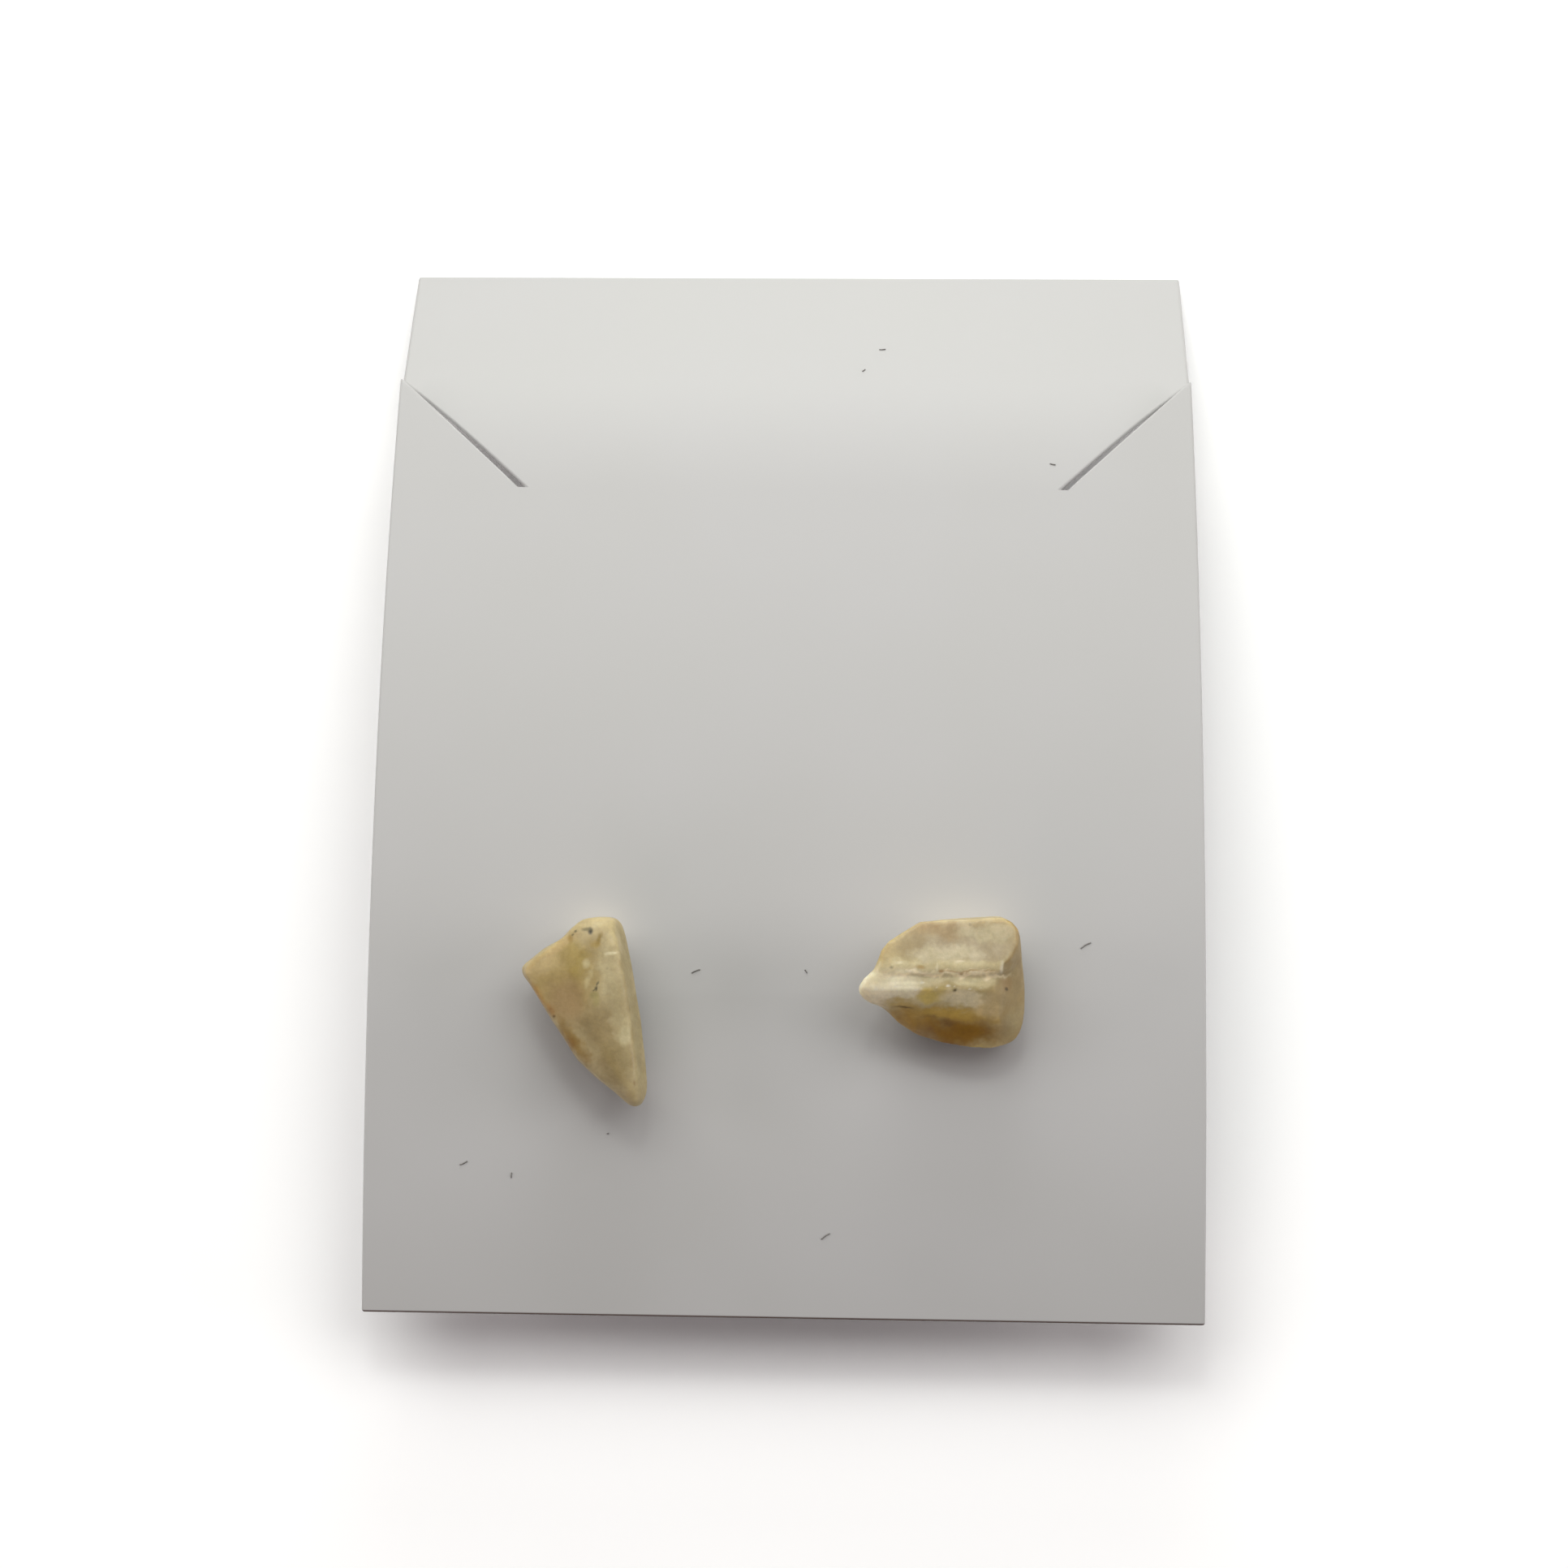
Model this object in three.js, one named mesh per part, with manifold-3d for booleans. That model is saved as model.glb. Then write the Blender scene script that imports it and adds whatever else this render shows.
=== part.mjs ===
// A pair of stone stud earrings on their display card, lying face up as they rest on a table
// Millimetres, +X to the right across the card, +Y up the card towards its slits, +Z up
import * as THREE from 'three';
import { mergeVertices } from 'three/addons/utils/BufferGeometryUtils.js';
import Module from 'manifold-3d';

const wasm = await Module();
wasm.setup();

// Card: lengths run along its bowed middle line, from the bottom edge up
const cardWidth = 50;
const cardThickness = 0.4;
const bodyLength = 51.2; // bottom edge to the inner ends of the slits
const slitReach = 8.2; // how far each slit comes in from the side, and as far up the card
const flapLength = 10.6; // flat strip above the slits
const slitGap = 0.3;
const footSlope = THREE.MathUtils.degToRad(14.3); // how steeply the card rises at its bottom edge
const bodyBow = THREE.MathUtils.degToRad(23.8); // how far the body turns over from there to the slits
const flapBend = THREE.MathUtils.degToRad(18.9); // how much further the strip is bent back
const bodyRows = 16;
const slitRows = 8;

// Holes and hardware
const holeSide = 11; // from the card's middle line
const holeUp = 19.2; // up the card from its bottom edge
const pinRadius = 0.4;
const pinLength = 9.5;
const pinChamfer = 0.1;
const pinClearance = 0.3; // round the pin in the card's hole
const padRadius = 1.8;
const padThickness = 0.4;
const seatGap = 0.3; // between the pad and the card, and between the card and the back
const glueLine = 0.3; // between the pad and the stone
const backGrip = 0.1; // round the pin in the back
const backLength = 3.6;
const backRadius = 1.9;
const backChamfer = 0.35;
const flangeRadius = 2.6;
const flangeThickness = 0.8;
const roundSides = 24;

// Left stone: a triangular slab
const slabWidth = 7.6;
const slabLength = 11.1;
const slabHeight = 4.2;

// Right stone: a block with a cleaved plate on top and a lobe to its left
const blockWidth = 9.8;
const blockLength = 7.7;
const blockHeight = 5;

// Sections of the slab from its top end down, in hundredths. Up is a share of its length from the post,
// left, right and the insets are shares of its width, and the other columns are shares of its height.
const slabColumns = ['up', 'left', 'right', 'under', 'leftIn', 'leftHigh', 'crown', 'rightHigh', 'rightIn'];
const slabSections = [
  [37.7, -2.6, 13.2, 36, 2, 60, 64, 60, 3],
  [35.9, -13.8, 17.8, 20, 4, 78, 83, 78, 5],
  [30.5, -23, 20.9, 8, 5, 88, 95, 88, 7],
  [26.6, -28.2, 22.4, 3, 6, 88, 98, 90, 7],
  [20.6, -43.2, 24.5, 0, 9, 84, 100, 91, 7],
  [11.4, -59.2, 27.2, 0, 7, 76, 100, 91, 7],
  [7.2, -58.4, 28.4, 0, 4, 76, 100, 91, 7],
  [2.3, -52.9, 29.9, 0, 3, 78, 99, 90, 7],
  [-16.4, -34.9, 34.5, 0, 3, 80, 96, 87, 7],
  [-37.8, -14.1, 38.8, 5, 3, 76, 89, 80, 7],
  [-47, 0.5, 40, 10, 3, 72, 84, 76, 7],
  [-53.8, 13.7, 40.7, 16, 3, 68, 78, 71, 6],
  [-60, 24.6, 37.5, 26, 2, 60, 68, 62, 3],
  [-61.9, 28.9, 33.9, 36, 1, 50, 55, 50, 1],
];
const slabFootLeft = 10; // by how much the foot is drawn in on each side
const slabFootRight = 3;
const slabGirdle = 0.4; // how far up the section it is widest

// Sections of the block from the lobe's tip to the right, in hundredths. Across is a share of its width
// from the post, and under a share of its height. Foot and bulge are [front, back] shares of its length,
// at its underside and where it is widest. The other corners are [share of its length, of its height].
const blockColumns = ['across', 'under', 'foot', 'bulge', 'band', 'crest', 'ledge', 'lip', 'plate', 'rim'];
const blockSections = [
  [-67.3, 72, [-2, 2], [-3, 3], [-2.5, 76], [0, 79], [1, 79], [1.5, 78.5], [2, 78], [2.5, 77]],
  [-64.3, 62, [-5, 6], [-6.5, 7.5], [-6, 72], [0, 83], [5, 84], [6, 84], [7, 83], [8, 79]],
  [-58.2, 53, [-8, 12], [-10, 15], [-9, 70], [0, 87], [10, 90], [11, 90.5], [12, 90], [14.5, 84]],
  [-55.6, 48, [-8, 17], [-11, 23], [-10, 69], [0, 88], [11.5, 91], [13.5, 92.5], [18, 93], [23.5, 91]],
  [-54.1, 42, [-8, 22], [-12, 29], [-10.5, 68], [0, 88.5], [11.5, 91], [13.5, 93.5], [19.5, 95], [29.5, 92]],
  [-50, 22, [-10, 29], [-15.5, 37], [-12, 67], [0, 89], [11.5, 91], [13, 94.5], [19.5, 96.5], [36, 93]],
  [-42.9, 6, [-17, 37], [-24, 44], [-13, 66], [0, 89], [11, 90.5], [12.5, 95], [19.5, 97.5], [42, 93]],
  [-31.6, 0, [-25, 46], [-32.5, 53], [-13.5, 66], [0, 89], [10.5, 90.5], [12, 95.5], [19, 98.5], [51, 92]],
  [-17.3, 0, [-31, 49], [-38, 55.5], [-12.5, 66], [1.5, 88], [10.5, 90.5], [12, 97], [19, 100], [52.5, 92]],
  [-3.1, 0, [-33, 50], [-41, 57], [-13, 65], [1, 86.5], [11, 90], [12.5, 97], [19, 100], [53, 93]],
  [12.2, 0, [-34, 51], [-41.5, 58.5], [-19, 61], [0.5, 84.5], [11.5, 89], [13, 96], [19, 99], [54.5, 94]],
  [16.3, 0, [-33, 51], [-40.5, 58.5], [-21, 57], [0.5, 80], [12.5, 86], [14, 94], [19, 97.5], [54.5, 94]],
  [22.4, 0, [-31, 48], [-38, 55], [-21, 46], [1, 64], [15, 75], [19, 86], [25, 95], [51.5, 93]],
  [26.2, 0, [-28, 43], [-35, 49], [-20, 40], [2, 53], [20, 68], [27, 80], [35, 93], [46, 92]],
  [27.6, 0, [-26, 37], [-33, 42], [-19, 37], [2, 48], [19, 60], [24, 68], [32, 78], [41, 80]],
  [29.4, 3, [-22, 25], [-29, 31], [-18, 33], [2, 42], [16, 49], [19, 51], [23, 53], [29, 52]],
  [30.8, 8, [-17, 14], [-23, 19], [-14, 29], [-2, 34], [7, 37], [9, 38], [12, 38], [17, 36]],
  [31.8, 16, [-10, 5], [-14, 9], [-9, 26], [-3, 28], [2, 29], [3.5, 29], [5, 29], [8, 27]],
];
const blockBulge = 25; // how high the block's front bulges most

// The rows of a table as objects with its columns' names
function rowsOf(columns, rows) {
  return rows.map((row) => Object.fromEntries(columns.map((column, i) => [column, row[i]])));
}

// A corner given in hundredths of a stone's width, length and height
function stoneCorner(across, up, high, [width, length, height]) {
  return new THREE.Vector3((across * width) / 100, (up * length) / 100, (high * height) / 100);
}

// Geometry with shared corners and no triangle that has lost its area, ready to be joined and cut
function weld(geometry) {
  geometry.deleteAttribute('normal');
  geometry.deleteAttribute('uv');
  const merged = mergeVertices(geometry);
  const corners = Array.from(merged.index.array);
  const kept = [];
  for (let i = 0; i < corners.length; i += 3) {
    const [a, b, c] = corners.slice(i, i + 3);
    if (a !== b && b !== c && c !== a) kept.push(a, b, c);
  }
  merged.setIndex(kept);
  return merged;
}

function geometryOf(points, triangles) {
  const geometry = new THREE.BufferGeometry();
  geometry.setAttribute('position', new THREE.Float32BufferAttribute(points.flatMap((p) => p.toArray()), 3));
  geometry.setIndex(triangles);
  return geometry;
}

function solidOf(geometry) {
  const welded = weld(geometry);
  const vertProperties = new Float32Array(welded.attributes.position.array);
  const triVerts = new Uint32Array(welded.index.array);
  return new wasm.Manifold(new wasm.Mesh({ numProp: 3, vertProperties, triVerts }));
}

function geometryFrom(solid) {
  const mesh = solid.getMesh();
  const geometry = new THREE.BufferGeometry();
  geometry.setAttribute('position', new THREE.BufferAttribute(mesh.vertProperties, 3));
  geometry.setIndex(new THREE.BufferAttribute(mesh.triVerts, 1));
  return geometry;
}

// The card's middle line is a chain of arcs, each {length, turn}; the main one runs on under the slits' tips,
// and the strip between the slits leaves it with a bend of its own
const bodyTurn = bodyBow / bodyLength;
const mainLine = [{ length: bodyLength + slitReach, turn: bodyTurn * (bodyLength + slitReach) }];
const stripLine = [
  { length: bodyLength, turn: bodyBow },
  { length: slitReach, turn: flapBend },
  { length: flapLength, turn: 0 },
];

// Where a line of arcs is at a distance along it, and its slope there
function walk(line, distance) {
  const place = { y: 0, z: 0, slope: footSlope };
  let left = distance;
  for (const { length, turn } of line) {
    const step = Math.min(left, length);
    const turned = (turn * step) / length;
    const half = turned / 2;
    const chord = half === 0 ? step : (step * Math.sin(half)) / half;
    place.y += chord * Math.cos(place.slope - half);
    place.z += chord * Math.sin(place.slope - half);
    place.slope -= turned;
    left -= step;
    if (left <= 0) break;
  }
  return place;
}

// A point of the card: across it, up it along a line, and off its middle by a height
function cardPoint(line, across, up, height) {
  const { y, z, slope } = walk(line, up);
  return new THREE.Vector3(across, y - height * Math.sin(slope), z + height * Math.cos(slope));
}

// Flat cells of the card, each with four corners {line, across, up} counter-clockwise from its front
function strip(line, rows, leftAt, rightAt) {
  const cells = [];
  for (let i = 1; i < rows.length; i += 1) {
    const [low, high] = [rows[i - 1], rows[i]];
    cells.push([
      { line, across: leftAt(low), up: low },
      { line, across: rightAt(low), up: low },
      { line, across: rightAt(high), up: high },
      { line, across: leftAt(high), up: high },
    ]);
  }
  return cells;
}

function evenRows(from, to, count) {
  return Array.from({ length: count + 1 }, (_, i) => from + ((to - from) * i) / count);
}

function cardCells() {
  const side = cardWidth / 2;
  const half = slitGap / Math.SQRT2;
  const inner = side - slitReach;
  const inside = (up) => inner - half + (up - bodyLength);
  const outside = (up) => inner + half + (up - bodyLength);
  const [slitInside, slitOutside] = [inside(bodyLength), outside(bodyLength)];
  const marks = [-side, -slitOutside, -slitInside, slitInside, slitOutside, side];
  const body = evenRows(0, bodyLength, bodyRows);
  const cells = [];
  for (let i = 1; i < marks.length; i += 1) {
    cells.push(...strip(mainLine, body, () => marks[i - 1], () => marks[i]));
  }
  const cornerRows = evenRows(bodyLength, bodyLength + slitReach - half, slitRows);
  cells.push(...strip(mainLine, cornerRows, () => -side, (up) => -outside(up)));
  cells.push(...strip(mainLine, cornerRows, outside, () => side));
  const tongueRows = evenRows(bodyLength, bodyLength + slitReach + half, slitRows);
  const tongueSide = (up) => Math.min(inside(up), side);
  const flapEnd = bodyLength + slitReach + flapLength;
  cells.push(...strip(stripLine, [...tongueRows, flapEnd], (up) => -tongueSide(up), tongueSide));
  return cells;
}

// A sheet of even thickness: front and back of every cell, and a wall along each edge on the outside
function sheet(cells, thickness) {
  const points = [];
  const numbers = new Map();
  const numberOf = ({ line, across, up }) => {
    const middle = cardPoint(line, across, up, 0);
    const key = middle.toArray().map((value) => value.toFixed(5)).join();
    if (!numbers.has(key)) {
      numbers.set(key, points.length);
      points.push(cardPoint(line, across, up, thickness / 2), cardPoint(line, across, up, -thickness / 2));
    }
    return numbers.get(key);
  };
  const loops = cells.map((cell) => cell.map(numberOf));
  const edges = new Set(loops.flatMap((loop) => loop.map((a, i) => `${a} ${loop[(i + 1) % loop.length]}`)));
  const triangles = [];
  for (const loop of loops) {
    const [a, b, c, d] = loop;
    triangles.push(a, b, c, a, c, d, a + 1, c + 1, b + 1, a + 1, d + 1, c + 1);
    loop.forEach((from, i) => {
      const to = loop[(i + 1) % loop.length];
      if (from === to || edges.has(`${to} ${from}`)) return;
      triangles.push(from, from + 1, to + 1, from, to + 1, to);
    });
  }
  return geometryOf(points, triangles);
}

// Turns and moves a geometry made round the stud's axis to the card's face at a hole
function placeAtHole(object, side) {
  const { slope } = walk(mainLine, holeUp);
  object.position.copy(cardPoint(mainLine, side * holeSide, holeUp, cardThickness / 2));
  object.rotation.x = slope;
  return object;
}

function cardGeometry() {
  let card = solidOf(sheet(cardCells(), cardThickness));
  const holeRadius = pinRadius + pinClearance;
  const drillLength = 4 * cardThickness;
  for (const side of [-1, 1]) {
    const drill = new THREE.CylinderGeometry(holeRadius, holeRadius, drillLength, roundSides);
    const axis = placeAtHole(new THREE.Object3D(), side);
    axis.updateMatrixWorld();
    drill.rotateX(Math.PI / 2);
    drill.applyMatrix4(axis.matrixWorld);
    card = card.subtract(solidOf(drill));
  }
  return geometryFrom(card);
}

// A turned piece from its profile of [radius, height] corners, with its axis along +Z
function turned(profile) {
  const points = profile.map(([radius, height]) => new THREE.Vector2(radius, height));
  return weld(new THREE.LatheGeometry(points, roundSides).rotateX(Math.PI / 2));
}

// Pad and pin in one, with the pad's underside at height 0
function postGeometry() {
  return turned([
    [0, -pinLength],
    [pinRadius - pinChamfer, -pinLength],
    [pinRadius, -pinLength + pinChamfer],
    [pinRadius, 0],
    [padRadius, 0],
    [padRadius, padThickness],
    [0, padThickness],
  ]);
}

// Soft back with its flange against the card, at height 0, and its bore along the axis
function backGeometry() {
  const bore = pinRadius + backGrip;
  return turned([
    [bore, 0],
    [bore, -backLength],
    [backRadius - backChamfer, -backLength],
    [backRadius, -backLength + backChamfer],
    [backRadius, -flangeThickness],
    [flangeRadius, -flangeThickness],
    [flangeRadius, 0],
    [bore, 0],
  ]);
}

// A closed skin through rings of equal count, with a fan over each end
function loft(rings) {
  const count = rings[0].length;
  const points = rings.flat();
  const triangles = [];
  for (let r = 1; r < rings.length; r += 1) {
    for (let i = 0; i < count; i += 1) {
      const [a, b] = [(r - 1) * count + i, (r - 1) * count + ((i + 1) % count)];
      triangles.push(a, b, b + count, a, b + count, a + count);
    }
  }
  const last = (rings.length - 1) * count;
  for (let i = 1; i < count - 1; i += 1) {
    triangles.push(0, i + 1, i, last, last + i, last + i + 1);
  }
  return weld(geometryOf(points, triangles));
}

// One ring of the slab, from its right foot over the crown to its left foot. Neither foot is drawn in
// by more than a quarter of the ring.
function slabRing({ up, left, right, under, leftIn, leftHigh, crown, rightHigh, rightIn }) {
  const most = (right - left) / 4;
  const girdle = under + (crown - under) * slabGirdle;
  const corners = [
    [right - Math.min(slabFootRight, most), under],
    [right, girdle],
    [right - rightIn, rightHigh],
    [(left + right) / 2, crown],
    [left + leftIn, leftHigh],
    [left, girdle],
    [left + Math.min(slabFootLeft, most), under],
  ];
  return corners.map(([across, high]) => stoneCorner(across, up, high, [slabWidth, slabLength, slabHeight]));
}

// One ring of the block, from its back foot over the plate and the lobe's crest to its front foot
function blockRing({ across, under, foot, bulge, band, crest, ledge, lip, plate, rim }) {
  const [footFront, footBack] = foot;
  const [bulgeFront, bulgeBack] = bulge;
  const corners = [
    [footBack, under],
    [bulgeBack, (under + rim[1]) / 2],
    rim,
    plate,
    lip,
    ledge,
    crest,
    band,
    [bulgeFront, Math.max(blockBulge, (under + band[1]) / 2)],
    [footFront, under],
  ];
  return corners.map(([up, high]) => stoneCorner(across, up, high, [blockWidth, blockLength, blockHeight]));
}

// Materials
const paper = new THREE.MeshStandardMaterial({ color: 0xe9e8e4, roughness: 0.55, metalness: 0 });
const steel = new THREE.MeshStandardMaterial({ color: 0xc9cbcd, roughness: 0.25, metalness: 1 });
const silicone = new THREE.MeshStandardMaterial({ color: 0xe6e8e8, roughness: 0.4, metalness: 0 });
const creamStone = new THREE.MeshStandardMaterial({ color: 0xcdb68c, roughness: 0.3, metalness: 0 });
const honeyStone = new THREE.MeshStandardMaterial({ color: 0xd2be96, roughness: 0.3, metalness: 0 });

function piece(name, geometry, material, height = 0) {
  const mesh = new THREE.Mesh(geometry, material.clone());
  mesh.name = name;
  mesh.position.z = height;
  return mesh;
}

// One stud through its hole: post, stone on the pad and back behind the card
function stud(name, side, stone) {
  const group = placeAtHole(new THREE.Group(), side);
  const stoneHeight = seatGap + padThickness + glueLine;
  group.add(piece(`${name}_post`, postGeometry(), steel, seatGap));
  group.add(piece(`${name}_stone`, stone.geometry, stone.material, stoneHeight));
  group.add(piece(`${name}_back`, backGeometry(), silicone, -cardThickness - seatGap));
  return group;
}

// How far a point lies over a line that leans by an angle from another point
function heightOver({ from, lean }, point) {
  return (point.z - from.z) * Math.cos(lean) - (point.y - from.y) * Math.sin(lean);
}

// The table touches the pins' tips and the end of the flap: the lean of the line under both of them
function restLean() {
  const { slope } = walk(mainLine, holeUp);
  const tip = cardPoint(mainLine, 0, holeUp, cardThickness / 2 + seatGap - pinLength);
  const tipRadius = pinRadius - pinChamfer;
  const along = new THREE.Vector3(0, Math.cos(slope), Math.sin(slope)).multiplyScalar(tipRadius);
  const tips = [tip.clone().sub(along), tip.clone().add(along)];
  const end = bodyLength + slitReach + flapLength;
  const ends = [1, -1].map((face) => cardPoint(stripLine, 0, end, (face * cardThickness) / 2));
  const lines = tips.flatMap((from) => ends.map((to) => {
    return { from, lean: Math.atan2(to.z - from.z, to.y - from.y) };
  }));
  const depth = (line) => Math.min(...[...tips, ...ends].map((point) => heightOver(line, point)));
  return lines.reduce((best, line) => (depth(line) > depth(best) ? line : best)).lean;
}

const slab = { geometry: loft(rowsOf(slabColumns, slabSections).map(slabRing)), material: creamStone };
const block = { geometry: loft(rowsOf(blockColumns, blockSections).map(blockRing)), material: honeyStone };

const assembly = new THREE.Group();
assembly.add(piece('card', cardGeometry(), paper));
assembly.add(stud('left', -1, slab));
assembly.add(stud('right', 1, block));
assembly.rotation.x = -restLean();

// The bottom centre of the whole is the origin
assembly.updateMatrixWorld(true);
const box = new THREE.Box3().setFromObject(assembly, true);
assembly.position.set(-(box.min.x + box.max.x) / 2, -(box.min.y + box.max.y) / 2, -box.min.z);

const group = new THREE.Group();
group.add(assembly);
export default group;
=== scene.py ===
# A pair of moonstone chip ear studs held on a bowed display card, lying face up on a pale table
# Metres, +X across the card to the right, +Y up the card towards its slits, +Z up off the table
import math

import bmesh
import bpy
import numpy as np
from mathutils import Euler, Matrix, Vector, noise
from mathutils.bvhtree import BVHTree


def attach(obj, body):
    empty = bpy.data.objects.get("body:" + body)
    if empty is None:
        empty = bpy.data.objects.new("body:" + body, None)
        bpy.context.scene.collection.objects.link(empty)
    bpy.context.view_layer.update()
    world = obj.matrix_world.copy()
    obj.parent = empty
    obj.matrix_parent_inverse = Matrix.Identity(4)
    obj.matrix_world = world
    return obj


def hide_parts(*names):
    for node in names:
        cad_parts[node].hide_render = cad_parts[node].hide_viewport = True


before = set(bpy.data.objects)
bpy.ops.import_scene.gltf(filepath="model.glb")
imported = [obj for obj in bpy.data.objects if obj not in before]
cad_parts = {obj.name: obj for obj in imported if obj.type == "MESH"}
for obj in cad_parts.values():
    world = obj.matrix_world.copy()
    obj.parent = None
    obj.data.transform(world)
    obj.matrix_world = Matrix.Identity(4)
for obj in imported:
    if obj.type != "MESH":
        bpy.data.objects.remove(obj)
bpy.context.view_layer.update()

# Display card
# Stiff 0.4 mm coated paper board, die cut with two slanted slits that a necklace chain hangs in.
# It has taken a bow in storage, and the strip over the slits is bent back. The studs push through it.
MM = 0.001
WELD = 0.0005 * MM
BOARD_FLAT = math.radians(0.2)
BOARD_CORNER = math.radians(50)
BOARD_EDGE = 0.16 * MM
# How much of the cut edge's bevel the line of painted shade along the lower edge covers
BOARD_EDGE_SHADE_SHARE = 0.6
BOARD_WHITE = "#b1b0af"
BOARD_GREY = "#aeadab"
# Dark brown of the painted shade line along the lower cut edge
BOARD_EDGE_SHADE = "#54423a"
BOARD_ROUGHNESS = 0.5
BOARD_ROUGHNESS_SWING = 0.06
BOARD_FIBRE = 0.09 * MM
BOARD_FIBRE_DEPTH = 0.01 * MM
BOARD_CLOUD = 16 * MM
# A Mix node's colour sockets share their names with its hidden ones, so they are reached by number
FACTOR, UNDER, OVER, MIXED = 0, 6, 7, 2


def linear(hex_colour, alpha=1.0):
    """An sRGB hex colour as the linear one that shaders read."""
    parts = [int(hex_colour[i : i + 2], 16) / 255 for i in (1, 3, 5)]
    return tuple(c / 12.92 if c <= 0.04045 else ((c + 0.055) / 1.055) ** 2.4 for c in parts) + (alpha,)


def add(tree, kind, settings=(), links=()):
    """Adds a node. Settings are (attribute or input, value) and links (input, output socket) pairs.
    The setting "stops" holds a colour ramp's (position, linear colour) pairs."""
    node = tree.nodes.new(kind)
    for name, value in settings:
        if name == "stops":
            while len(node.color_ramp.elements) < len(value):
                node.color_ramp.elements.new(0.5)
            for element, (position, colour) in zip(node.color_ramp.elements, value):
                element.position = position
                element.color = colour
        elif isinstance(name, str) and hasattr(node, name):
            setattr(node, name, value)
        else:
            node.inputs[name].default_value = value
    for name, socket in links:
        tree.links.new(socket, node.inputs[name])
    return node


def new_material(name):
    """An empty node material and its output node."""
    material = bpy.data.materials.new(name)
    material.use_nodes = True
    material.node_tree.nodes.clear()
    return material, material.node_tree.nodes.new("ShaderNodeOutputMaterial")


def merged_copy(node, name):
    """A new object with a CAD node's mesh, its loose triangles joined at shared corners."""
    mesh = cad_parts[node].data.copy()
    mesh.name = name
    mesh.materials.clear()
    copy = bpy.data.objects.new(name, mesh)
    bpy.context.scene.collection.objects.link(copy)
    loose = bmesh.new()
    loose.from_mesh(mesh)
    bmesh.ops.remove_doubles(loose, verts=loose.verts, dist=WELD)
    loose.to_mesh(mesh)
    loose.free()
    return copy


def bake_modifiers(piece):
    """Turns the evaluated shape into the piece's plain mesh and takes the modifiers off."""
    bpy.context.view_layer.update()
    evaluated = piece.evaluated_get(bpy.context.evaluated_depsgraph_get())
    mesh = bpy.data.meshes.new_from_object(evaluated)
    piece.modifiers.clear()
    piece.data = mesh
    return piece


def finish_piece(piece, material, slot, *nodes):
    """Gives a piece its material, sets it on the root body and hides the CAD parts that it stands for."""
    piece.data.materials.clear()
    piece.data.materials.append(material)
    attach(piece, "root")
    if nodes:
        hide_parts(*nodes)


board = merged_copy("card", "board")
flat = bmesh.new()
flat.from_mesh(board.data)
bmesh.ops.dissolve_limit(flat, angle_limit=BOARD_FLAT, verts=flat.verts, edges=flat.edges)
flat.to_mesh(board.data)
flat.free()
for polygon in board.data.polygons:
    polygon.use_smooth = True
cut_edge = board.modifiers.new("cut edge", "BEVEL")
cut_edge.width = BOARD_EDGE
cut_edge.segments = 3
cut_edge.use_clamp_overlap = False
cut_edge.limit_method = "ANGLE"
cut_edge.angle_limit = BOARD_CORNER
# The large faces alone set the shading, so that the card stays smooth up to its cut edge
even = board.modifiers.new("even shading", "WEIGHTED_NORMAL")
even.weight = 100
bake_modifiers(board)
# A thin dark brown line is painted along the lower cut edge: painted shade for the edge that faces away
# from the lamps
low_end = min(corner.co.y for corner in board.data.vertices)
rim = board.data.attributes.new("rim", "FLOAT", "POINT")
for corner, edge_darkness in zip(board.data.vertices, rim.data):
    edge_darkness.value = 1.0 if corner.co.y < low_end + BOARD_EDGE * BOARD_EDGE_SHADE_SHARE else 0.0

# Coated paper board, calendered smooth: a faint sheen, and slow clouds where the coating is thinner. Its
# fibres are 0.02 mm thick, too fine to show in the render, so they are drawn as coarse as they need to be
coated_board, out = new_material("coated paper board, calendered")
tree = coated_board.node_tree
place = add(tree, "ShaderNodeTexCoord").outputs["Object"]
cloud = add(tree, "ShaderNodeTexNoise", [("Scale", 1 / BOARD_CLOUD), ("Detail", 2)], [("Vector", place)])
tone = add(
    tree,
    "ShaderNodeValToRGB",
    [("stops", [(0.35, linear(BOARD_GREY)), (0.65, linear(BOARD_WHITE))])],
    [("Fac", cloud.outputs["Fac"])],
)
# Painted shade: the dark brown line along the lower cut edge
edge_shade_at = add(tree, "ShaderNodeAttribute", [("attribute_name", "rim")])
edge_shaded = add(
    tree,
    "ShaderNodeMix",
    [("data_type", "RGBA"), (OVER, linear(BOARD_EDGE_SHADE))],
    [(FACTOR, edge_shade_at.outputs["Fac"]), (UNDER, tone.outputs["Color"])],
)
fibre = add(tree, "ShaderNodeTexNoise", [("Scale", 1 / BOARD_FIBRE), ("Detail", 3)], [("Vector", place)])
relief = add(
    tree,
    "ShaderNodeBump",
    [("Strength", 0.12), ("Distance", BOARD_FIBRE_DEPTH)],
    [("Height", fibre.outputs["Fac"])],
)
sheen = add(
    tree,
    "ShaderNodeMapRange",
    [
        ("From Min", 0.3),
        ("From Max", 0.7),
        ("To Min", BOARD_ROUGHNESS - BOARD_ROUGHNESS_SWING),
        ("To Max", BOARD_ROUGHNESS + BOARD_ROUGHNESS_SWING),
    ],
    [("Value", cloud.outputs["Fac"])],
)
paint = add(
    tree,
    "ShaderNodeBsdfPrincipled",
    [("IOR", 1.45), ("Specular IOR Level", 0.35)],
    [
        ("Base Color", edge_shaded.outputs[MIXED]),
        ("Roughness", sheen.outputs["Result"]),
        ("Normal", relief.outputs["Normal"]),
    ],
)
tree.links.new(paint.outputs["BSDF"], out.inputs["Surface"])
finish_piece(board, coated_board, "card_paper", "card")

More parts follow.
